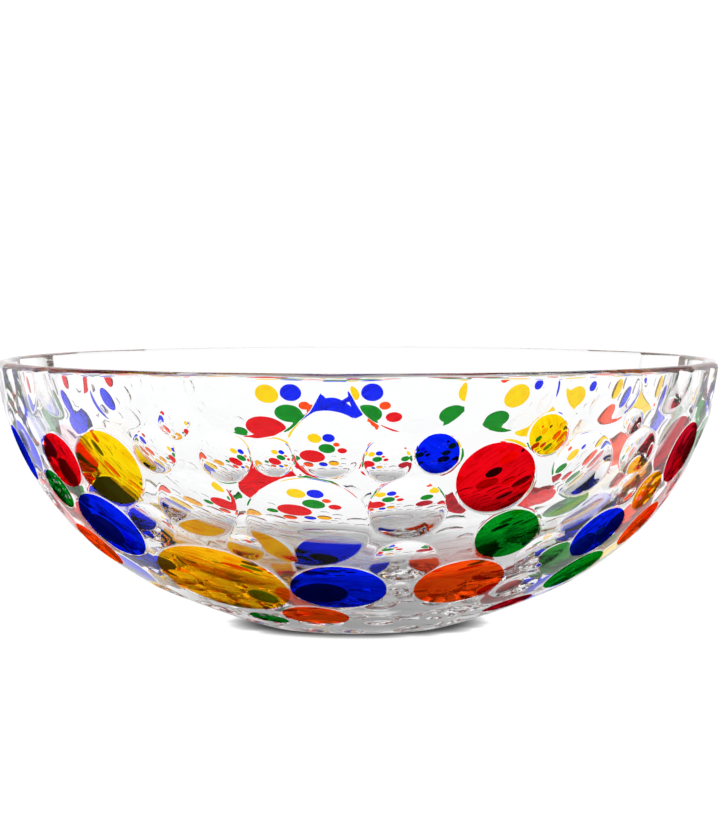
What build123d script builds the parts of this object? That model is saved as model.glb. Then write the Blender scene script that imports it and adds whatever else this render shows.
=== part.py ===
from build123d import *
import math
import os

# Heavy clear glass bowl with round concave dimples outside and a fired enamel film in the coloured ones.
# Millimetres, +Z up. The origin is on the resting plane, on the axis. The front is towards -Y.

# Overall sizes
rim_radius = 150.0
height = 110.0
foot_radius = 39.0
# Wall: a gently curved skirt above the foot, then one arc to the rim, both outside and inside
skirt_lean = 16.0  # degrees that the outside leaves the resting plane with
skirt_radius = 322.0
skirt_turn = 8.0
floor_thickness = 12.0
bottom_radius = 186.0  # inside curve over the floor
bottom_turn = 28.0
rim_wall = 7.0
lip_radius = 1.4
# Shallow hollow under the foot, which leaves a flat ring to rest on
foot_ring = 6.0  # width of that ring
hollow_depth = 1.2
# Dimples: small ones are deep thumbprints and large ones are nearly flat
deepest_ratio = 1.5  # radius of the smallest dimples' hollow over their diameter
curve_growth = 7.0  # how fast the hollow's radius grows with the diameter
flattening_from = 115.0  # taken off that radius
rim_curve = 700.0  # the facets under the rim are nearly flat
dimple_gap = 0.4  # narrowest ridge that a filling dimple leaves
filling_step = 3  # degrees around between the places that a filling dimple may take
# Enamel
enamel_film = 0.3
bare_edge = 0.5  # glass left bare between a film's edge and the dimple's edge

# Each dimple is: degrees around from the front towards +X, climb along the outside in percent
# of the way from foot to rim, and diameter. A climb near 100 puts the rim through the dimple.
# A fourth number is the hollow's radius, where it has one of its own.
rim_facets = [
    (-65, 96, 36), (-51, 97, 31), (-36, 97, 35), (-15.5, 101, 52), (8, 101, 48), (22, 98, 39),
    (39, 98, 37), (54, 100, 38), (69, 97, 36), (83.5, 96, 35), (99, 99, 43), (115, 96, 35),
    (128.5, 96, 34), (142.5, 96, 33), (163, 99, 45), (180, 96, 37), (197, 99, 45), (213, 96, 35),
    (229, 98, 41), (254, 98, 40), (268.5, 96, 34), (281.5, 96, 33),
]
clear_dimples = [
    (-28, 88.5, 14), (46, 87.5, 10.5), (-32.5, 81.5, 19), (-20.5, 80.5, 21), (-12.8, 80.5, 15.5),
    (-4.5, 83.5, 27), (4.5, 80, 18), (37.5, 77.5, 28), (49.5, 80, 20), (-39, 61, 20),
    (-27.5, 67.5, 31.5, 145), (-8.5, 62.5, 45), (8, 67, 29, 50), (38, 51.5, 23), (51, 70, 15),
    (-21, 55, 14), (9, 50, 25), (9, 39, 10), (40, 37, 21), (8, 16, 15),
    (29, 21, 20), (-51, 21, 18), (-63, 30, 18), (70, 30, 18), (-2, 4, 9), (24, 6, 12), (42, 9, 13),
    (64, 9, 12), (-53, 8, 12), (-20, 4, 9), (-66, 14, 13), (72, 69, 13),
]
enamelled_dimples = {
    "red_front_upper_left": (-56, 77, 25),
    "yellow_front_upper_left": (-43.5, 76, 34),
    "blue_front_upper_middle": (12, 81.5, 17.5),
    "red_front_upper_right": (22, 75, 32),
    "yellow_front_upper_right": (29.5, 85.5, 17.5),
    "ruby_right_upper": (66.5, 78, 28),
    "green_front_left": (-63, 68.5, 19),
    "blue_front_left": (-52, 58.5, 35),
    "green_front_right": (27.5, 58.5, 27),
    "amber_front_right": (59, 68.5, 19),
    "blue_front_right": (51, 56.5, 28),
    "orange_left_low": (-67, 50, 26),
    "orange_right_middle": (68, 57, 25),
    "amber_front_low_left": (-32.5, 39, 54),
    "blue_front_low_middle": (-4.5, 38, 37),
    "orange_front_low_right": (23, 40, 36),
    "green_right_low": (58, 41, 29),
    "ruby_right_foot": (53, 23, 22),
    "green_left_foot": (-34.5, 15, 17),
    "orange_front_foot": (-14, 19, 27),
    "green_right_upper": (82, 78, 25),
    "blue_right_upper": (98, 76, 23),
    "yellow_right_upper": (112, 79, 22),
    "red_right_middle": (89, 60, 30),
    "orange_right_back": (108, 61, 32),
    "yellow_right_low": (80, 42, 26),
    "green_right_back_low": (101, 39, 27),
    "blue_right_foot": (85, 24, 20),
    "blue_back_small_left": (134, 80, 12),
    "orange_back_small": (151.5, 84, 11),
    "yellow_back_left": (143, 72, 29),
    "green_back_left": (147.5, 53.5, 27),
    "ruby_back_low_left": (143, 35, 33),
    "red_right_back_low": (121, 39, 22),
    "red_back_middle": (175.5, 50, 16.5),
    "orange_back_middle": (180, 60, 12),
    "blue_back_upper": (185.5, 70, 22),
    "green_back_middle": (188, 53, 28),
    "yellow_back_upper": (196, 69, 24.5),
    "red_back_low": (203, 39.5, 39),
    "amber_back_low": (184.5, 26, 17),
    "blue_back_low": (196.5, 24, 14),
    "orange_back_low": (213, 25, 16),
    "green_back_low": (219, 38.5, 14),
    "red_left_back_upper": (242, 86, 17),
    "blue_left_back": (251, 74, 26),
    "amber_left_back_low": (240, 36, 26),
    "orange_left_back": (257, 54, 29),
    "green_left_upper": (268, 77, 23),
    "blue_left_upper": (284, 77, 26),
    "red_left_middle": (277, 58, 27),
    "yellow_left_low": (266, 35, 28),
    "blue_left_low": (283, 37, 28),
}
# Where the lists leave bare wall, plain dimples fill it, the largest first: diameter and climbs
filling = [(30, range(40, 84, 4)), (22, range(24, 88, 4)), (15, range(12, 92, 4)), (10, range(12, 96, 3))]
filled_sector = (72, 292)  # degrees around; the front is placed by hand

# Outside of the wall, from the foot's edge to the rim
with BuildLine() as outside:
    skirt = JernArc(
        (foot_radius, 0),
        (math.cos(math.radians(skirt_lean)), math.sin(math.radians(skirt_lean))),
        skirt_radius,
        skirt_turn,
    )
    TangentArc(skirt @ 1, (rim_radius, height), tangent=skirt % 1)
outside_wire = outside.wire()


def wall_plane(around, climb):
    """Plane on the outside of the wall: its Z points out of the glass, its X around the bowl."""
    share = climb / 100
    spot = outside_wire @ min(share, 1)
    run = outside_wire % min(share, 1)
    beyond = max(share - 1, 0) * outside_wire.length
    radius = spot.X + beyond * run.X
    level = spot.Y + beyond * run.Y
    turn = math.radians(around)
    out_x, out_y = math.sin(turn), -math.cos(turn)
    return Plane(
        origin=(radius * out_x, radius * out_y, level),
        x_dir=(math.cos(turn), math.sin(turn), 0),
        z_dir=(run.Y * out_x, run.Y * out_y, -run.X),
    )


def hollow_curve(dimple):
    """Radius of a dimple's spherical hollow."""
    if dimple in rim_facets:
        return rim_curve
    if len(dimple) > 3:
        return dimple[3]
    return max(deepest_ratio * dimple[2], curve_growth * dimple[2] - flattening_from)


def ball_plane(dimple):
    """Plane at the centre of a dimple's ball, turned so that no pole or seam lies in the dimple."""
    place = wall_plane(dimple[0], dimple[1])
    half = dimple[2] / 2
    wall_sag = half**2 * (1 / rim_radius + 1 / side_radius) / 4
    rise = math.sqrt(hollow_curve(dimple) ** 2 - half**2) - wall_sag
    centre = place.origin + place.z_dir * rise
    return Plane(origin=centre, x_dir=place.z_dir, z_dir=place.x_dir)


def clears(dimple, others):
    """True where a dimple leaves the narrowest ridge to every other one."""
    spot = wall_plane(dimple[0], dimple[1]).origin
    for other in others:
        reach = (dimple[2] + other[2]) / 2 + dimple_gap
        if (spot - wall_plane(other[0], other[1]).origin).length < reach:
            return False
    return True


side_radius = outside.edges()[1].radius
dimples = rim_facets + clear_dimples + list(enamelled_dimples.values())
for diameter, climbs in filling:
    for climb in climbs:
        for around in range(filled_sector[0], filled_sector[1], filling_step):
            if clears((around, climb, diameter), dimples):
                dimples.append((around, climb, diameter))
print(len(rim_facets), "facets under the rim and", len(dimples) - len(rim_facets), "dimples")

hollow_radius = foot_radius - foot_ring

# Glass body
with BuildPart() as bowl_body:
    with BuildSketch(Plane.XZ):
        with BuildLine():
            add(outside_wire)
            bottom = JernArc((0, floor_thickness), (1, 0), bottom_radius, bottom_turn)
            side = TangentArc(bottom @ 1, (rim_radius - rim_wall, height), tangent=bottom % 1)
            Line(side @ 1, (rim_radius, height))
            Polyline(
                (foot_radius, 0), (hollow_radius, 0), (hollow_radius - hollow_depth, hollow_depth),
                (0, hollow_depth), (0, floor_thickness),
            )
        make_face()
    revolve(axis=Axis.Z)
    lip_edges = bowl_body.edges().group_by(Axis.Z)[-1]
    fillet(lip_edges, lip_radius)
    for dimple in dimples:
        with Locations(ball_plane(dimple)):
            Sphere(hollow_curve(dimple), mode=Mode.SUBTRACT)
bowl_body.part.label = "bowl_body"


def enamel(name, dimple):
    """Film on a dimple's hollow, bounded by a round edge just inside the dimple's edge."""
    around, climb, diameter = dimple
    curve = hollow_curve(dimple)
    edge_radius = diameter / 2 - bare_edge
    with BuildPart() as film:
        with Locations(ball_plane(dimple)):
            Sphere(curve)
            Sphere(curve - enamel_film, mode=Mode.SUBTRACT)
        with Locations(wall_plane(around, climb)):
            Cylinder(edge_radius, diameter, mode=Mode.INTERSECT)
    film.part.label = name
    return film.part


os.makedirs("parts", exist_ok=True)
export_step(bowl_body.part, "parts/bowl_body.step")
for name, dimple in enamelled_dimples.items():
    film = enamel(f"{name}_enamel", dimple)
    export_step(film, f"parts/{name}_enamel.step")
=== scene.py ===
import bpy
import math
import numpy as np
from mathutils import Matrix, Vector
from mathutils.geometry import delaunay_2d_cdt


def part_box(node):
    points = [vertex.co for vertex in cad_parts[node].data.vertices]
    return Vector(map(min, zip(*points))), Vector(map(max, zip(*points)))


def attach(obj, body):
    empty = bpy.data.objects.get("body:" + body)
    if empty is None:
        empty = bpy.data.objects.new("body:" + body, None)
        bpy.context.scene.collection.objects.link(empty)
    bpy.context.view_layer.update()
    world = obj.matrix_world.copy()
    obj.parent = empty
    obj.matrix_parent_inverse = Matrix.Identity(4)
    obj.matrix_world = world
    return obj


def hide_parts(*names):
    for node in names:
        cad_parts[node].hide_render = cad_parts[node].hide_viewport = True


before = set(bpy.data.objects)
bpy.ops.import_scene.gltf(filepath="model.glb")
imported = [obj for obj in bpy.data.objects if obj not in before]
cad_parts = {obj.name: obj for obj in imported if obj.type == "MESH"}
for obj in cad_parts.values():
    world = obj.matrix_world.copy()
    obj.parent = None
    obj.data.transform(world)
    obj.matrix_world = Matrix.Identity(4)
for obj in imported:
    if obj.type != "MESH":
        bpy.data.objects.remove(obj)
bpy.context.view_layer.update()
_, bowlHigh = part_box("bowl_body")
mm = 0.001

# The wall of the bowl: the same skirt, arc and floor as the frame's, in metres
wall = {
    "rimRadius": 150 * mm,
    "height": bowlHigh.z,
    "footRadius": 39 * mm,
    "skirtLean": math.radians(16),
    "skirtRadius": 322 * mm,
    "skirtTurn": math.radians(8),
    "floorThickness": 12 * mm,
    "bottomRadius": 186 * mm,
    "bottomTurn": math.radians(28),
    "rimWall": 7 * mm,
    "lipHeight": 2.6 * mm,  # how far the rounding of the rim reaches down
    "hollowRadius": 33 * mm,
    "hollowDepth": 1.2 * mm,
    "rippleDepth": 0.05 * mm,  # unevenness that fire polishing leaves
    "innerRipple": (0.8, 0.6),  # the inside's unevenness, in closeness and depth, against the outside's
}

# A dimple is degrees around from the front, climb in percent of the wall and diameter in mm,
# then the radius of its hollow in mm where it has one of its own
hollows = {
    "deepestRatio": 1.5,  # radius of the smallest dimples' hollows over their diameter
    "curveGrowth": 7,  # larger makes the big dimples flatter
    "flatteningFrom": 115,
    "rimCurve": 700,  # the facets under the rim are nearly flat
    "gap": 0.4,  # narrowest ridge that a filling dimple leaves, in mm
    "ridgeSoftness": 0.22 * mm,  # larger rounds the ridges more
    "nearShare": 1.15,  # a dimple is worked out for points within this many half widths
    "nearMargin": 2 * mm,  # and this much more
    "rim": [
        (-65, 96, 36), (-51, 97, 31), (-36, 97, 35), (-15.5, 101, 52), (8, 101, 48), (22, 98, 39),
        (39, 98, 37), (54, 100, 38), (69, 97, 36), (83.5, 96, 35), (99, 99, 43), (115, 96, 35),
        (128.5, 96, 34), (142.5, 96, 33), (163, 99, 45), (180, 96, 37), (197, 99, 45), (213, 96, 35),
        (229, 98, 41), (254, 98, 40), (268.5, 96, 34), (281.5, 96, 33),
    ],
    "clear": [
        (-28, 88.5, 14), (46, 87.5, 10.5), (-32.5, 81.5, 19), (-20.5, 80.5, 21), (-12.8, 80.5, 15.5),
        (-4.5, 83.5, 27), (4.5, 80, 18), (37.5, 77.5, 28), (49.5, 80, 20), (-39, 61, 20),
        (-27.5, 67.5, 31.5, 145), (-8.5, 62.5, 45), (8, 67, 29, 50), (38, 51.5, 23), (51, 70, 15),
        (-21, 55, 14), (9, 50, 25), (9, 39, 10), (40, 37, 21), (8, 16, 15),
        (29, 21, 20), (-51, 21, 18), (-63, 30, 18), (70, 30, 18), (-2, 4, 9), (24, 6, 12), (42, 9, 13),
        (64, 9, 12), (-53, 8, 12), (-20, 4, 9), (-66, 14, 13), (72, 69, 13),
    ],
    # where the lists leave bare wall, plain dimples fill it: diameter and climbs
    "filling": [
        (30, range(40, 84, 4)), (22, range(24, 88, 4)), (15, range(12, 92, 4)),
        (10, range(12, 96, 3)),
    ],
    "filledSector": (72, 292),  # degrees around; the front's dimples are listed one by one
    "fillingStep": 3,
}

# The dimples that hold enamel
enamelDots = {
    "red_front_upper_left": (-56, 77, 25),
    "yellow_front_upper_left": (-43.5, 76, 34),
    "blue_front_upper_middle": (12, 81.5, 17.5),
    "red_front_upper_right": (22, 75, 32),
    "yellow_front_upper_right": (29.5, 85.5, 17.5),
    "ruby_right_upper": (66.5, 78, 28),
    "green_front_left": (-63, 68.5, 19),
    "blue_front_left": (-52, 58.5, 35),
    "green_front_right": (27.5, 58.5, 27),
    "amber_front_right": (59, 68.5, 19),
    "blue_front_right": (51, 56.5, 28),
    "orange_left_low": (-67, 50, 26),
    "orange_right_middle": (68, 57, 25),
    "amber_front_low_left": (-32.5, 39, 54),
    "blue_front_low_middle": (-4.5, 38, 37),
    "orange_front_low_right": (23, 40, 36),
    "green_right_low": (58, 41, 29),
    "ruby_right_foot": (53, 23, 22),
    "green_left_foot": (-34.5, 15, 17),
    "orange_front_foot": (-14, 19, 27),
    "green_right_upper": (82, 78, 25),
    "blue_right_upper": (98, 76, 23),
    "yellow_right_upper": (112, 79, 22),
    "red_right_middle": (89, 60, 30),
    "orange_right_back": (108, 61, 32),
    "yellow_right_low": (80, 42, 26),
    "green_right_back_low": (101, 39, 27),
    "blue_right_foot": (85, 24, 20),
    "blue_back_small_left": (134, 80, 12),
    "orange_back_small": (151.5, 84, 11),
    "yellow_back_left": (143, 72, 29),
    "green_back_left": (147.5, 53.5, 27),
    "ruby_back_low_left": (143, 35, 33),
    "red_right_back_low": (121, 39, 22),
    "red_back_middle": (175.5, 50, 16.5),
    "orange_back_middle": (180, 60, 12),
    "blue_back_upper": (185.5, 70, 22),
    "green_back_middle": (188, 53, 28),
    "yellow_back_upper": (196, 69, 24.5),
    "red_back_low": (203, 39.5, 39),
    "amber_back_low": (184.5, 26, 17),
    "blue_back_low": (196.5, 24, 14),
    "orange_back_low": (213, 25, 16),
    "green_back_low": (219, 38.5, 14),
    "red_left_back_upper": (242, 86, 17),
    "blue_left_back": (251, 74, 26),
    "amber_left_back_low": (240, 36, 26),
    "orange_left_back": (257, 54, 29),
    "green_left_upper": (268, 77, 23),
    "blue_left_upper": (284, 77, 26),
    "red_left_middle": (277, 58, 27),
    "yellow_left_low": (266, 35, 28),
    "blue_left_low": (283, 37, 28),
}


# A chain of two arcs that meet without a corner, as radius and height along its length
def arcPair(start, lean, radius, turn, end):
    start, end = np.array(start), np.array(end)
    firstCentre = start + radius * np.array([-math.sin(lean), math.cos(lean)])
    meeting = lean + turn
    joint = firstCentre + radius * np.array([math.sin(meeting), -math.cos(meeting)])
    chord = end - joint
    sweep = 2 * (math.atan2(chord[1], chord[0]) - meeting)
    second = float(np.hypot(*chord)) / (2 * math.sin(sweep / 2))
    secondCentre = joint + second * np.array([-math.sin(meeting), math.cos(meeting)])
    return {
        "centres": (firstCentre, secondCentre), "radii": (radius, second), "lean": lean,
        "meeting": meeting, "firstLength": radius * turn, "length": radius * turn + second * sweep,
    }


# Radius, height and lean of the surface at a distance along the chain; straight on past its end
def alongPair(pair, along):
    along = np.asarray(along, float)
    inside = np.minimum(along, pair["length"])
    first = inside < pair["firstLength"]
    lean = np.where(
        first,
        pair["lean"] + inside / pair["radii"][0],
        pair["meeting"] + (inside - pair["firstLength"]) / pair["radii"][1],
    )
    radius = np.where(first, pair["radii"][0], pair["radii"][1])
    centreR = np.where(first, pair["centres"][0][0], pair["centres"][1][0])
    centreZ = np.where(first, pair["centres"][0][1], pair["centres"][1][1])
    beyond = along - inside
    r = centreR + radius * np.sin(lean) + beyond * np.cos(lean)
    z = centreZ - radius * np.cos(lean) + beyond * np.sin(lean)
    return r, z, lean


# The distance along the chain that is nearest to a radius and height
def nearestAlong(pair, r, z):
    firstLean = np.arctan2(r - pair["centres"][0][0], pair["centres"][0][1] - z)
    secondLean = np.arctan2(r - pair["centres"][1][0], pair["centres"][1][1] - z)
    first = (firstLean - pair["lean"]) * pair["radii"][0]
    second = pair["firstLength"] + (secondLean - pair["meeting"]) * pair["radii"][1]
    return np.where(secondLean > pair["meeting"], second, first)


outerWall = arcPair(
    (wall["footRadius"], 0), wall["skirtLean"], wall["skirtRadius"], wall["skirtTurn"],
    (wall["rimRadius"], wall["height"]),
)
innerWall = arcPair(
    (0, wall["floorThickness"]), 0, wall["bottomRadius"], wall["bottomTurn"],
    (wall["rimRadius"] - wall["rimWall"], wall["height"]),
)


# Points and outward normals of the bare outer wall
def wallPoints(around, along):
    r, z, lean = alongPair(outerWall, along)
    outX, outY = np.sin(around), -np.cos(around)
    points = np.stack([r * outX, r * outY, z + 0 * around], -1)
    normals = np.stack([np.sin(lean) * outX, np.sin(lean) * outY, -np.cos(lean) + 0 * around], -1)
    return points, normals


# A dimple's centre on the bare wall, the normal there and half its width
def dimpleSpot(dimple):
    around, climb, diameter = dimple[:3]
    along = np.array(climb / 100 * outerWall["length"])
    point, normal = wallPoints(np.array(math.radians(around)), along)
    return point, normal, diameter * mm / 2


def clears(dimple, others):
    spot, _, half = dimpleSpot(dimple)
    for other in others:
        otherSpot, _, otherHalf = dimpleSpot(other)
        if np.linalg.norm(spot - otherSpot) < half + otherHalf + hollows["gap"] * mm:
            return False
    return True


def allDimples():
    found = hollows["rim"] + hollows["clear"] + list(enamelDots.values())
    for diameter, climbs in hollows["filling"]:
        for climb in climbs:
            for around in range(*hollows["filledSector"], hollows["fillingStep"]):
                if clears((around, climb, diameter), found):
                    found.append((around, climb, diameter))
    return found


# A dimple's spot, normal and half width, then the centre and radius of the ball that cuts it
def hollowSphere(dimple):
    spot, normal, half = dimpleSpot(dimple)
    if dimple in hollows["rim"]:
        curve = hollows["rimCurve"] * mm
    elif len(dimple) > 3:
        curve = dimple[3] * mm
    else:
        grown = hollows["curveGrowth"] * dimple[2] - hollows["flatteningFrom"]
        curve = max(hollows["deepestRatio"] * dimple[2], grown) * mm
    wallSag = half**2 * (1 / wall["rimRadius"] + 1 / outerWall["radii"][1]) / 4
    rise = math.sqrt(curve**2 - half**2) - wallSag
    return spot, normal, half, spot + normal * rise, curve


spheres = [hollowSphere(dimple) for dimple in allDimples()]
print("dimples laid out:", len(spheres))


# The larger of two depths, with the corner between them rounded
def smoothMax(a, b, softness):
    blend = np.clip(softness - np.abs(a - b), 0, None) / softness
    return np.maximum(a, b) + blend**2 * softness / 4


# Gentle unevenness of hand-finished glass, from crossing waves of unlike lengths in mm
def ripple(points, strength):
    x, y, z = points[:, 0] / mm, points[:, 1] / mm, points[:, 2] / mm
    waves = np.sin(x / 7.1 + 0.7 * np.sin(z / 9)) * np.sin(y / 6.3 + 1.3)
    waves += np.sin(z / 5.2 + x / 19) * np.sin(y / 11.7 - x / 8.9 + 0.4)
    return waves * strength / 2


# The finished outer surface: the bare wall cut back by the dimples, lowered further by depth
def outerSurface(around, along, depth=0.0):
    points, normals = wallPoints(around, along)
    cut = np.zeros(len(points))
    for spot, _, half, centre, curve in spheres:
        distance = np.linalg.norm(points - spot, axis=1)
        near = np.nonzero(distance < half * hollows["nearShare"] + hollows["nearMargin"])[0]
        if not len(near):
            continue
        offset = points[near] - centre
        facing = (offset * normals[near]).sum(1)
        inside = facing**2 - (offset**2).sum(1) + curve**2
        sink = np.where(inside > 0, facing + np.sqrt(np.clip(inside, 0, None)), -1)
        cut[near] = smoothMax(cut[near], sink, hollows["ridgeSoftness"])
    cut += ripple(points, wall["rippleDepth"])
    return points - normals * (cut + depth)[:, None]


# The directions around the bowl and up the wall at a dimple
def sidesOf(sphere):
    sideways = np.cross(sphere[1], [0, 0, 1])
    sideways /= np.linalg.norm(sideways)
    return np.array([sideways, np.cross(sideways, sphere[1])])


# Flat offsets from a dimple's centre, sideways and up the wall, as places on the wall
def placesNear(sphere, flat):
    spot, normal = sphere[0], sphere[1]
    sideways, upward = sidesOf(sphere)
    sag = flat[:, 0] ** 2 / (2 * wall["rimRadius"]) + flat[:, 1] ** 2 / (2 * outerWall["radii"][1])
    at = spot - normal * sag[:, None] + flat[:, :1] * sideways + flat[:, 1:] * upward
    along = nearestAlong(outerWall, np.hypot(at[:, 0], at[:, 1]), at[:, 2])
    return np.arctan2(at[:, 0], -at[:, 1]), along


# How far a dimple's edge lies from its centre, in each direction, where the wall curves unevenly
def edgeDistance(sphere, turn):
    half, curve = sphere[2], sphere[4]
    across, upright = 1 / wall["rimRadius"], 1 / outerWall["radii"][1]
    mean = (across + upright) / 2 + 1 / curve
    local = across * np.cos(turn) ** 2 + upright * np.sin(turn) ** 2 + 1 / curve
    return half * np.sqrt(mean / local)


glassMesh = {
    "ridgeSpacing": 1.15 * mm,
    "ridgeRings": (0, -0.45 * mm, 0.45 * mm, -1.15 * mm, 1.15 * mm, -2.3 * mm),  # from a dimple's edge
    "fewestOnRing": 6,
    "fewestOnRidge": 4,
    "ridgeOverrun": 2 * mm,  # a shared ridge's line goes on this far past both edges
    "overlapSlack": -0.3 * mm,  # points further than this inside another dimple are dropped
    "openSpacing": 3.2 * mm,
    "openBand": (-3.4 * mm, 2.2 * mm),  # the plain rows leave this band along each edge to the rings
    "lipMargin": 0.4 * mm,  # a first row this close to the lip keeps its shading off the wall
    "freeMargins": (0.7 * mm, 1.0 * mm),  # rings end this far from the foot's edge and the lip
    "mergeCell": 0.55 * mm,  # of the points in a cell this wide, one stays
    "flattenSteps": 600,
    "flatTolerance": 1e-7,
    "rimColumns": 720,
    "footColumns": 240,
    "lipSteps": 10,
    "lipFullness": 0.8,  # smaller makes the lip squarer
    "innerRows": 44,
    "innerCrowding": 1.08,  # above 1 brings the inside's rows closer together near the centre
    "narrowest": 0.8 * mm,  # rings with columns narrower than this have half as many
    "fewestColumns": 60,
    "footMargin": 0.8 * mm,  # from the wall's edge to the first row underneath
    # the next rows: outwards from the hollow's edge and up, in mm, and the share of its depth added
    "footRows": [
        (3, 0, 0), (0.4, 0, 0), (0, 0.1, 0), (-0.4, 0.4, 0), (-0.9, -0.15, 1), (-1.6, 0, 1),
        (-6, 0, 1),
    ],
    "footFan": 200,  # larger draws the last rings in the hollow closer to its centre
    "fewestFan": 15,
}


# A ring that follows a dimple's edge at an offset; odd twentieths of a mm are shifted by half a step
def dimpleRing(sphere, offset, spacing):
    around = 2 * math.pi * (sphere[2] + offset)
    count = max(glassMesh["fewestOnRing"], round(around / spacing))
    turn = (np.arange(count) + 0.5 * (round(offset / mm * 20) % 2)) * 2 * math.pi / count
    distance = edgeDistance(sphere, turn) + offset
    return placesNear(sphere, np.stack([distance * np.cos(turn), distance * np.sin(turn)], -1))


# Where two facets overlap, their shared ridge is a straight line: both cut equally deep there
def sharedRidge(first, second, offset, spacing):
    link = (second[0] - first[0]) @ sidesOf(first).T
    apart = np.linalg.norm(link)
    if apart > first[2] + second[2]:
        return None
    bulge = np.array([1 / wall["rimRadius"], 1 / outerWall["radii"][1]]) + 1 / first[4]
    depths = [s[2] ** 2 * bulge.mean() / 2 for s in (first, second)]
    level = depths[0] - depths[1] + (bulge * link**2).sum() / 2
    steepness = np.linalg.norm(bulge * link)
    across = bulge * link / steepness
    along = level / steepness
    reach = math.sqrt(max(first[2] ** 2 - along**2, 0)) + glassMesh["ridgeOverrun"]
    count = max(glassMesh["fewestOnRidge"], round(2 * reach / spacing))
    steps = np.linspace(-reach, reach, count)
    line = np.array([-across[1], across[0]])
    return placesNear(first, across * (along + offset) + steps[:, None] * line)


# The outer wall's points are flattened to a disc that keeps its angles, and joined up there
def buildOuterWall():
    rimZ = wall["height"] - wall["lipHeight"]
    rimLean = math.acos((outerWall["centres"][1][1] - rimZ) / outerWall["radii"][1])
    topAlong = outerWall["firstLength"] + (rimLean - outerWall["meeting"]) * outerWall["radii"][1]
    rimColumns, footColumns = glassMesh["rimColumns"], glassMesh["footColumns"]
    rimAround = np.arange(rimColumns) * 2 * math.pi / rimColumns
    footAround = np.arange(footColumns) * 2 * math.pi / footColumns
    places = [
        (rimAround, np.full(rimColumns, topAlong)), (footAround, np.zeros(footColumns)),
        (rimAround, np.full(rimColumns, topAlong - glassMesh["lipMargin"])),
    ]
    spots = np.array([s[0] for s in spheres])
    sides = np.array([sidesOf(s) for s in spheres])

    # how far outside each dimple's edge the points are
    def edgeDistances(around, along):
        points, _ = wallPoints(around, along)
        link = points[:, None] - spots[None]
        flat = np.einsum("pdk,dak->pda", link, sides)
        turn = np.arctan2(flat[:, :, 1], flat[:, :, 0])
        edges = np.stack([edgeDistance(s, turn[:, i]) for i, s in enumerate(spheres)], 1)
        return np.linalg.norm(link, axis=2) - edges

    # the points on the wall that lie in no other dimple than their own
    def keep(around, along, own):
        distance = edgeDistances(around, along)
        distance[:, own] = 1
        lowMargin, highMargin = glassMesh["freeMargins"]
        inRange = (along > lowMargin) & (along < topAlong - highMargin)
        kept = inRange & (distance.min(1) > glassMesh["overlapSlack"])
        return around[kept], along[kept]

    spacing = glassMesh["ridgeSpacing"]
    for ring in glassMesh["ridgeRings"]:
        for own, sphere in enumerate(spheres):
            places.append(keep(*dimpleRing(sphere, ring, spacing), [own]))
        for own in range(len(hollows["rim"])):
            for other in range(own):
                line = sharedRidge(spheres[own], spheres[other], ring, spacing)
                if line is not None:
                    places.append(keep(*line, [own, other]))
    inBand, outBand = glassMesh["openBand"]
    rows = np.arange(1, int(topAlong / glassMesh["openSpacing"])) * glassMesh["openSpacing"]
    for number, along in enumerate(rows):
        count = round(2 * math.pi * float(alongPair(outerWall, along)[0]) / glassMesh["openSpacing"])
        around = (np.arange(count) + 0.5 * (number % 2)) * 2 * math.pi / count
        alongs = np.full(count, along)
        distance = edgeDistances(around, alongs)
        free = ((distance < inBand) | (distance > outBand)).all(1)
        places.append((around[free], alongs[free]))
    around = np.concatenate([p[0] for p in places])
    along = np.concatenate([p[1] for p in places])
    points, _ = wallPoints(around, along)
    boundary = rimColumns + footColumns
    cells = np.round(points / glassMesh["mergeCell"]).astype(np.int64)
    _, first = np.unique(cells, axis=0, return_index=True)
    chosen = np.union1d(np.arange(boundary + rimColumns), first)
    around, along = around[chosen], along[chosen]

    steps = np.linspace(0, topAlong, glassMesh["flattenSteps"])
    radii, _, _ = alongPair(outerWall, steps)
    grow = np.concatenate([[0], np.cumsum(np.diff(steps) * (1 / radii[1:] + 1 / radii[:-1]) / 2)])
    flatRadius = np.exp(np.interp(along, steps, grow))
    across, upward = flatRadius * np.cos(around), flatRadius * np.sin(around)
    flat = [Vector((float(x), float(y))) for x, y in zip(across, upward)]
    triangles = delaunay_2d_cdt(flat, [], [], 0, glassMesh["flatTolerance"], False)[2]
    triangles = np.array([t for t in triangles if len(t) == 3])
    onFoot = ((triangles >= rimColumns) & (triangles < boundary)).all(1)
    triangles = triangles[~onFoot]
    return outerSurface(around, along), triangles


outerPoints, outerTriangles = buildOuterWall()
print("outer wall:", len(outerPoints), "points,", len(outerTriangles), "triangles")


# Joins two closed rings of points, where the first has as many as the second or twice as many
def stitch(first, second, faces):
    count, ratio = len(second), len(first) // len(second)
    for i in range(count):
        here, after = second[i], second[(i + 1) % count]
        if ratio == 1:
            faces.append((first[i], first[(i + 1) % count], after, here))
        else:
            a, b, c = first[2 * i], first[2 * i + 1], first[(2 * i + 2) % (2 * count)]
            faces.extend([(a, b, here), (b, after, here), (b, c, after)])


# A level ring of points around the axis
def ringPoints(count, radius, level):
    turn = np.arange(count) * 2 * math.pi / count
    return np.stack([radius * np.sin(turn), -radius * np.cos(turn), np.full(count, level)], -1)


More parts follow.
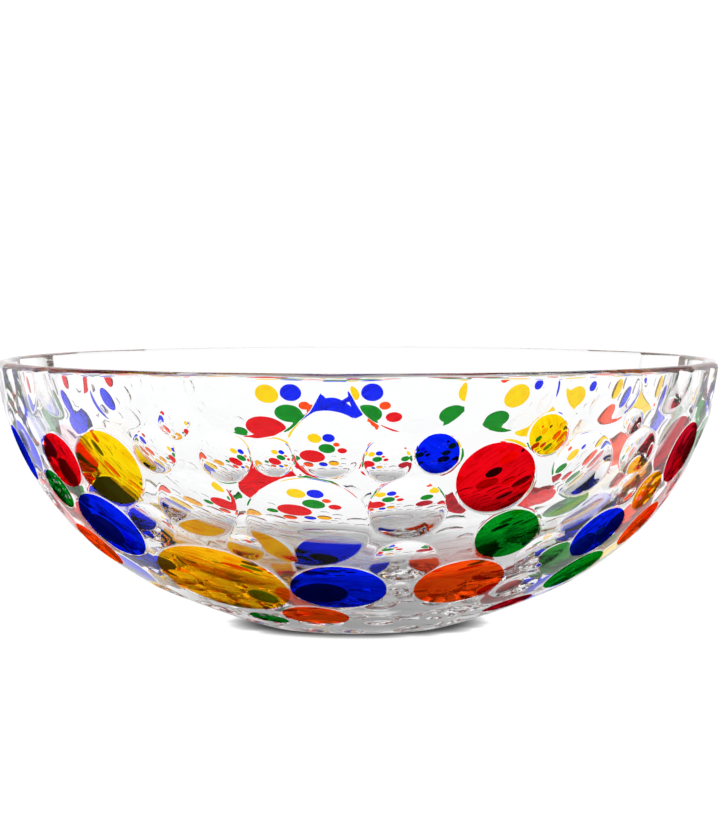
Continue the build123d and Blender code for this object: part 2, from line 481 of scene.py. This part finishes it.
# The whole glass: the outer wall, then rings over the lip, down the inside, and under the foot
def buildGlass():
    points = [outerPoints]
    total = len(outerPoints)
    faces = [tuple(int(i) for i in t) for t in outerTriangles]

    def addRing(ring):
        nonlocal total
        points.append(ring)
        total += len(ring)
        return list(range(total - len(ring), total))

    # closes a ring with triangles to a point on the axis
    def closeRing(ring, level):
        centre = addRing(np.array([[0, 0, level]]))
        for i in range(len(ring)):
            faces.append((ring[i], ring[(i + 1) % len(ring)], centre[0]))

    columns = glassMesh["rimColumns"]
    outerEdge = outerPoints[:columns]
    rimZ = wall["height"] - wall["lipHeight"]
    innerLean = math.acos((innerWall["centres"][1][1] - rimZ) / innerWall["radii"][1])
    innerTop = innerWall["firstLength"] + (innerLean - innerWall["meeting"]) * innerWall["radii"][1]
    innerRadius, innerLevel, _ = alongPair(innerWall, innerTop)
    innerEdge = ringPoints(columns, float(innerRadius), float(innerLevel))
    previous = list(range(columns))
    for step in range(1, glassMesh["lipSteps"]):
        angle = math.pi * step / glassMesh["lipSteps"]
        share = 0.5 - 0.5 * math.cos(angle)
        ring = outerEdge * (1 - share) + innerEdge * share
        base = ring[:, 2]
        ring[:, 2] = base + (wall["height"] - base) * math.sin(angle) ** glassMesh["lipFullness"]
        current = addRing(ring)
        stitch(previous, current, faces)
        previous = current

    rows = glassMesh["innerRows"]
    alongs = [innerTop, innerTop - glassMesh["lipMargin"]]
    for row in range(1, rows):
        alongs.append(innerTop * (1 - row / rows) ** glassMesh["innerCrowding"])
    closeness, depth = wall["innerRipple"]
    count = columns
    for row, along in enumerate(alongs):
        radius, level, _ = alongPair(innerWall, along)
        narrow = 2 * math.pi * radius / count < glassMesh["narrowest"]
        if count > glassMesh["fewestColumns"] and narrow:
            count //= 2
        ring = ringPoints(count, float(radius), float(level))
        ring[:, 2] += ripple(ring * closeness, wall["rippleDepth"] * depth)
        if row == 0:
            ring = innerEdge
        current = addRing(ring)
        stitch(previous, current, faces)
        previous = current
    closeRing(previous, wall["floorThickness"])

    previous = list(range(columns, columns + glassMesh["footColumns"]))
    footRows = [(wall["footRadius"] - glassMesh["footMargin"], 0)]
    for outwards, level, share in glassMesh["footRows"]:
        rise = level * mm + share * wall["hollowDepth"]
        footRows.append((wall["hollowRadius"] + outwards * mm, rise))
    for radius, level in footRows:
        current = addRing(ringPoints(len(previous), radius, level))
        stitch(previous, current, faces)
        previous = current
    while len(previous) > glassMesh["fewestFan"]:
        count = len(previous) // 2
        current = addRing(ringPoints(count, radius * count / glassMesh["footFan"], level))
        stitch(previous, current, faces)
        previous = current
    closeRing(previous, level)
    return np.concatenate(points), faces


# A smooth mesh with its normals outwards, and a map of its points where one is given
def meshObject(name, points, faces, uvs=None):
    mesh = bpy.data.meshes.new(name)
    mesh.from_pydata([tuple(p) for p in points], [], faces)
    mesh.validate()
    if uvs is not None:
        layer = mesh.uv_layers.new(name="UVMap")
        for loop in mesh.loops:
            layer.data[loop.index].uv = uvs[loop.vertex_index]
    piece = bpy.data.objects.new(name, mesh)
    bpy.context.collection.objects.link(piece)
    bpy.context.view_layer.objects.active = piece
    for other in bpy.context.selected_objects:
        other.select_set(False)
    piece.select_set(True)
    bpy.ops.object.mode_set(mode="EDIT")
    bpy.ops.mesh.select_all(action="SELECT")
    bpy.ops.mesh.normals_make_consistent(inside=False)
    bpy.ops.object.mode_set(mode="OBJECT")
    mesh.shade_smooth()
    return piece


glassPoints, glassFaces = buildGlass()
glassBowl = meshObject("glass_bowl", glassPoints, glassFaces)
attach(glassBowl, "root")
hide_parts("bowl_body")
print("glass bowl:", len(glassFaces), "faces")

film = {
    "bareEdge": 0.45 * mm,  # glass left bare at the dimple's edge
    "edgeWobble": 0.12 * mm,  # unevenness of the hand-painted edge
    "wobbleWaves": (3, 5, 8),  # waves of that unevenness round the edge
    "proud": 0.06 * mm,  # how far the film stands on the glass
    "fused": 0.14 * mm,  # and how far it has sunk in
    "spacing": 2.2 * mm,
    "fewestRings": 4,
    "edgeColumns": 24,
    "fewestColumns": 12,
    "crowded": 0.5,  # rings with columns closer than this share of the spacing have half as many
    "mapScale": 0.01,  # one unit of the map is 100 mm
}


# One fired film: an outer and an inner layer, closed around the edge
def buildFilm(name, dimple, seed):
    sphere = hollowSphere(dimple)
    edge = sphere[2] - film["bareEdge"]
    rings = max(film["fewestRings"], math.ceil(edge / film["spacing"]))
    columns = film["edgeColumns"]
    while 2 * math.pi * edge / columns > film["spacing"]:
        columns *= 2
    waves = film["wobbleWaves"]
    phases = np.random.default_rng(seed).uniform(0, 2 * math.pi, len(waves))
    closest = film["spacing"] * film["crowded"]
    counts, flats = [], []
    for ring in range(rings, 0, -1):
        share = ring / rings
        count = columns
        while count > film["fewestColumns"] and 2 * math.pi * edge * share / count < closest:
            count //= 2
        turn = np.arange(count) * 2 * math.pi / count
        wobble = sum(np.sin(k * turn + phases[i]) for i, k in enumerate(waves)) / len(waves)
        reach = edgeDistance(sphere, turn) - film["bareEdge"]
        distance = (reach + wobble * film["edgeWobble"]) * share
        flats.append(np.stack([distance * np.cos(turn), distance * np.sin(turn)], -1))
        counts.append(count)
    flats.append(np.zeros((1, 2)))
    flat = np.concatenate(flats)
    around, along = placesNear(sphere, flat)
    layers = [outerSurface(around, along, -film["proud"]), outerSurface(around, along, film["fused"])]
    size = len(flat)
    faces = []
    for layer in (0, size):
        start = layer
        for count, inner in zip(counts, counts[1:]):
            stitch(range(start, start + count), range(start + count, start + count + inner), faces)
            start += count
        for i in range(counts[-1]):
            faces.append((start + i, start + (i + 1) % counts[-1], layer + size - 1))
    for i in range(counts[0]):
        j = (i + 1) % counts[0]
        faces.append((i, j, size + j, size + i))
    uvs = np.concatenate([flat, flat]) / mm * film["mapScale"] + 0.5
    return meshObject(name, np.concatenate(layers), faces, uvs)


# Colours: what one film lets through where it is thin and where it pools, and how it was brushed on
enamelColours = {
    "red": {"tint": (0.88, 0.002, 0.008), "deep": (0.50, 0.0, 0.002), "streak": 20},
    "ruby": {"tint": (0.55, 0.004, 0.018), "deep": (0.22, 0.0, 0.004), "streak": 55},
    "yellow": {"tint": (1.0, 0.72, 0.004), "deep": (0.93, 0.46, 0.001), "streak": -50},
    "amber": {"tint": (1.0, 0.50, 0.004), "deep": (0.84, 0.20, 0.001), "streak": -12},
    "blue": {"tint": (0.001, 0.016, 0.95), "deep": (0.0, 0.003, 0.52), "streak": -8},
    "green": {"tint": (0.001, 0.29, 0.014), "deep": (0.0, 0.075, 0.004), "streak": 25},
    "orange": {"tint": (1.0, 0.085, 0.004), "deep": (0.88, 0.022, 0.001), "streak": 12},
}
brush = {
    "stretch": (9, 60, 1),  # how fine the streaks are along and across the brush
    "streaks": {"Scale": 1.0, "Detail": 5, "Roughness": 0.62, "Distortion": 0.6},
    "streakShare": 0.65,
    "clouds": {"Scale": 14, "Detail": 3},
    "cloudShare": 0.35,
    "pooled": (0.42, 0.72),  # the pattern's range over which the thin colour turns deep
    "bubbleScale": 170,
    "bubbleEdge": (0.10, 0.04),
    "bubbleShare": 0.35,  # how pale the bubbles are
    "turnSpread": 25,  # degrees that the strokes differ from dot to dot, either way
    "turnStep": 2.4,
    "seedStep": 0.37,
}


# A new node with its properties set, and with its inputs set or, from a socket, linked
def node(tree, kind, inputs=None, **settings):
    made = tree.nodes.new(kind)
    for key, value in settings.items():
        setattr(made, key, value)
    for key, value in (inputs or {}).items():
        if isinstance(value, bpy.types.NodeSocket):
            tree.links.new(value, made.inputs[key])
        else:
            made.inputs[key].default_value = value
    return made


def times(tree, first, second):
    return node(tree, "ShaderNodeMath", {0: first, 1: second}, operation="MULTIPLY").outputs[0]


def mix(tree, kind, share, first, second):
    inputs = {"Factor": share, "A": first, "B": second}
    return node(tree, "ShaderNodeMix", inputs, data_type=kind).outputs["Result"]


def mapRange(tree, value, span, ends=(0, 1), kind="SMOOTHSTEP"):
    inputs = dict(zip(("From Min", "From Max", "To Min", "To Max"), (*span, *ends)))
    inputs["Value"] = value
    return node(tree, "ShaderNodeMapRange", inputs, interpolation_type=kind).outputs[0]


# A group with its sockets, each a name and a kind, and its own input sockets to link from
def nodeGroup(name, inputs, output):
    group = bpy.data.node_groups.new(name, "ShaderNodeTree")
    for socket, kind in inputs:
        group.interface.new_socket(socket, in_out="INPUT", socket_type=kind)
    group.interface.new_socket(output[0], in_out="OUTPUT", socket_type=output[1])
    return group, node(group, "NodeGroupInput").outputs


# Brushed-on enamel: long streaks, soft cloudy patches and a few fine bubbles
def makeStreakGroup():
    sockets = [
        ("Tint", "NodeSocketColor"), ("Deep", "NodeSocketColor"), ("Angle", "NodeSocketFloat"),
        ("Seed", "NodeSocketFloat"),
    ]
    group, enter = nodeGroup("brushedEnamel", sockets, ("Color", "NodeSocketColor"))
    place = node(group, "ShaderNodeUVMap", uv_map="UVMap").outputs["UV"]
    inputs = {"Vector": place, "Angle": enter["Angle"]}
    turn = node(group, "ShaderNodeVectorRotate", inputs, rotation_type="Z_AXIS").outputs["Vector"]
    inputs = {0: turn, 1: enter["Seed"]}
    shift = node(group, "ShaderNodeVectorMath", inputs, operation="ADD").outputs[0]
    inputs = {0: shift, 1: brush["stretch"]}
    stretch = node(group, "ShaderNodeVectorMath", inputs, operation="MULTIPLY").outputs[0]
    streaks = node(group, "ShaderNodeTexNoise", {"Vector": stretch, **brush["streaks"]})
    clouds = node(group, "ShaderNodeTexNoise", {"Vector": shift, **brush["clouds"]})
    inputs = {
        0: streaks.outputs["Fac"], 1: brush["streakShare"],
        2: times(group, clouds.outputs["Fac"], brush["cloudShare"]),
    }
    pattern = node(group, "ShaderNodeMath", inputs, operation="MULTIPLY_ADD").outputs[0]
    pooled = mapRange(group, pattern, brush["pooled"])
    inputs = {"Vector": shift, "Scale": brush["bubbleScale"]}
    bubbles = node(group, "ShaderNodeTexVoronoi", inputs, feature="F1").outputs["Distance"]
    spots = mapRange(group, bubbles, brush["bubbleEdge"], kind="LINEAR")
    colour = mix(group, "RGBA", pooled, enter["Tint"], enter["Deep"])
    light = mix(group, "RGBA", times(group, spots, brush["bubbleShare"]), colour, enter["Tint"])
    node(group, "NodeGroupOutput", {"Color": light})
    return group


glassFinish = {
    "ior": 1.54,
    "tint": (0.99, 0.992, 0.995, 1),
    "gloss": 0.2,  # how mirror-like the glass is face on
    "polished": 0.0,  # roughness of the polished glass and of the scuffs
    "scuffed": 0.18,
    "scuffHeight": 0.05 * mm,  # only glass below this has scuffs
    "scuffNoise": {"Scale": 900, "Detail": 4},
    "scuffRange": (0.5, 0.62),
}


# Handling wear: fine scuffs on the ring that the bowl stands on, none elsewhere
def makeWearGroup():
    sockets = [(name, "NodeSocketFloat") for name in ("Height", "Polished", "Scuffed")]
    group, enter = nodeGroup("footWear", sockets, ("Roughness", "NodeSocketFloat"))
    place = node(group, "ShaderNodeTexCoord").outputs["Object"]
    inputs = {0: node(group, "ShaderNodeSeparateXYZ", {0: place}).outputs["Z"], 1: enter["Height"]}
    low = node(group, "ShaderNodeMath", inputs, operation="LESS_THAN").outputs[0]
    scuffs = node(group, "ShaderNodeTexNoise", {"Vector": place, **glassFinish["scuffNoise"]})
    sharp = mapRange(group, scuffs.outputs["Fac"], glassFinish["scuffRange"], kind="LINEAR")
    rough = mix(group, "FLOAT", times(group, low, sharp), enter["Polished"], enter["Scuffed"])
    node(group, "NodeGroupOutput", {"Roughness": rough})
    return group


def makeGlass(wearGroup):
    material = bpy.data.materials.new("clearGlass")
    material.use_nodes = True
    tree = material.node_tree
    shader = tree.nodes["Principled BSDF"]
    shader.inputs["Base Color"].default_value = glassFinish["tint"]
    shader.inputs["Transmission Weight"].default_value = 1.0
    shader.inputs["Metallic"].default_value = 0.0
    shader.inputs["IOR"].default_value = glassFinish["ior"]
    shader.inputs["Specular Tint"].default_value = (*[glassFinish["gloss"]] * 3, 1)
    inputs = {
        "Height": glassFinish["scuffHeight"], "Polished": glassFinish["polished"],
        "Scuffed": glassFinish["scuffed"],
    }
    wear = node(tree, "ShaderNodeGroup", inputs, node_tree=wearGroup)
    tree.links.new(wear.outputs["Roughness"], shader.inputs["Roughness"])
    return material


# The film bends no light itself, as it is fused to the glass; it only takes colours out
def makeEnamel(name, colour, angle, seed, streakGroup):
    material = bpy.data.materials.new(name)
    material.use_nodes = True
    tree = material.node_tree
    shader = tree.nodes["Principled BSDF"]
    shader.inputs["Transmission Weight"].default_value = 1.0
    shader.inputs["Metallic"].default_value = 0.0
    shader.inputs["Roughness"].default_value = 0.0
    shader.inputs["IOR"].default_value = 1.0
    inputs = {
        "Tint": (*colour["tint"], 1), "Deep": (*colour["deep"], 1),
        "Angle": math.radians(angle), "Seed": seed,
    }
    painted = node(tree, "ShaderNodeGroup", inputs, node_tree=streakGroup)
    tree.links.new(painted.outputs["Color"], shader.inputs["Base Color"])
    return material


streakGroup = makeStreakGroup()
wearGroup = makeWearGroup()
glassBowl.data.materials.append(makeGlass(wearGroup))

for seed, (name, dimple) in enumerate(enamelDots.items()):
    colour = enamelColours[name.split("_")[0]]
    piece = buildFilm(f"{name}_film", dimple, seed)
    angle = colour["streak"] + brush["turnSpread"] * math.sin(seed * brush["turnStep"])
    piece.data.materials.append(
        makeEnamel(name, colour, angle, seed * brush["seedStep"], streakGroup)
    )
    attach(piece, "root")
    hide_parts(f"{name}_enamel")
print("enamel films:", len(enamelDots))

stage = {
    "floorSize": 12.0,
    "floorGlow": 1.0,  # the floor glows to the viewer, so that it stays white up to the bowl
    "floorColor": (0.12, 0.12, 0.12, 1),
    "floorRoughness": 0.9,
    "paintedShadowReach": 0.005,  # how wide the painted contact shadow round the foot is
    "paintedShadowSamples": 8,
    "paintedShadeUnder": 0.5,  # painted shade: how bright the glass sees the floor right under the bowl
    "underReach": (0.03, 0.1),  # how far from the middle that goes over into full white
    "paintedShadeFront": 0.55,  # painted shade: the glass also sees a dimmer floor round a spot just in front of the bowl
    "frontSpot": (0, -0.17, 0),
    "frontReach": (0.1, 0.26),
    "skyStrength": 1.1,
    "skyEdge": (0.30, 0.65),  # heights of a direction over which white walls turn into the ceiling
    "ceiling": 0.06,
    "screenEdge": (-0.80, -0.93),  # a dark screen behind the viewer fades in between these
    "darkScreen": 0.1,
}


# The viewer sees an even glowing floor with a thin painted contact shadow; the glass also sees painted
# shade under and in front of the bowl
def buildStage():
    half = stage["floorSize"] / 2
    corners = [(-half, -half, 0), (half, -half, 0), (half, half, 0), (-half, half, 0)]
    mesh = bpy.data.meshes.new("floor")
    mesh.from_pydata(corners, [], [(0, 1, 2, 3)])
    floor = bpy.data.objects.new("floor", mesh)
    bpy.context.collection.objects.link(floor)
    material = bpy.data.materials.new("paleFloor")
    material.use_nodes = True
    tree = material.node_tree
    shader = tree.nodes["Principled BSDF"]
    shader.inputs["Base Color"].default_value = stage["floorColor"]
    shader.inputs["Roughness"].default_value = stage["floorRoughness"]
    shader.inputs["Specular IOR Level"].default_value = 0.0
    shader.inputs["Emission Color"].default_value = (1, 1, 1, 1)
    place = node(tree, "ShaderNodeTexCoord").outputs["Object"]
    distance = node(tree, "ShaderNodeVectorMath", {0: place}, operation="LENGTH")
    inputs = {0: place, 1: stage["frontSpot"]}
    ahead = node(tree, "ShaderNodeVectorMath", inputs, operation="DISTANCE")
    # painted shade under the bowl and round a spot in front of it, seen only from the glass
    under = mapRange(
        tree, distance.outputs["Value"], stage["underReach"], (stage["paintedShadeUnder"], 1)
    )
    front = mapRange(tree, ahead.outputs["Value"], stage["frontReach"], (stage["paintedShadeFront"], 1))
    # painted contact shadow: ambient occlusion darkens the floor's glow round the foot
    inputs = {"Distance": stage["paintedShadowReach"]}
    paintedShadow = node(tree, "ShaderNodeAmbientOcclusion", inputs, samples=stage["paintedShadowSamples"])
    shade = times(tree, paintedShadow.outputs["AO"], stage["floorGlow"])
    seen = node(tree, "ShaderNodeLightPath").outputs["Is Camera Ray"]
    glow = mix(tree, "FLOAT", seen, times(tree, under, front), shade)
    tree.links.new(glow, shader.inputs["Emission Strength"])
    floor.data.materials.append(material)


# White walls all round, a dark ceiling and a dark screen behind the viewer give the glass its edges
def buildSky():
    world = bpy.data.worlds.new("studio")
    bpy.context.scene.world = world
    world.use_nodes = True
    tree = world.node_tree
    background = tree.nodes["Background"]
    place = node(tree, "ShaderNodeTexCoord").outputs["Generated"]
    split = node(tree, "ShaderNodeSeparateXYZ", {0: place})
    up = mapRange(tree, split.outputs["Z"], stage["skyEdge"], (1, stage["ceiling"]))
    behind = mapRange(tree, split.outputs["Y"], stage["screenEdge"], (1, stage["darkScreen"]))
    seen = node(tree, "ShaderNodeLightPath").outputs["Is Camera Ray"]
    plain = mix(tree, "FLOAT", seen, times(tree, up, behind), 1)
    tree.links.new(plain, background.inputs["Color"])
    background.inputs["Strength"].default_value = stage["skyStrength"]


buildStage()
buildSky()

view = {
    "distance": 1.25,
    "height": 0.158,
    "downTilt": 3.19,  # degrees
    "turn": -0.076,
    "frameHeight": 821,  # the focal length is in the same unit as this
    "focal": 3011.4,
    "sensor": 36,
    "clip": (0.01, 100),
}


def buildCamera():
    camera = bpy.data.cameras.new("camera")
    camera.sensor_width = view["sensor"]
    camera.lens = view["focal"] * view["sensor"] / view["frameHeight"]
    camera.clip_start, camera.clip_end = view["clip"]
    seat = bpy.data.objects.new("camera", camera)
    seat.location = (0, -view["distance"], view["height"])
    seat.rotation_euler = (math.radians(90 - view["downTilt"]), 0, math.radians(view["turn"]))
    bpy.context.collection.objects.link(seat)
    bpy.context.scene.camera = seat


buildCamera()
settings = bpy.context.scene
settings.view_settings.view_transform = "Standard"
settings.cycles.max_bounces = 32
settings.cycles.transmission_bounces = 32
settings.cycles.glossy_bounces = 16
settings.cycles.transparent_max_bounces = 64
print("stage, sky and camera set")
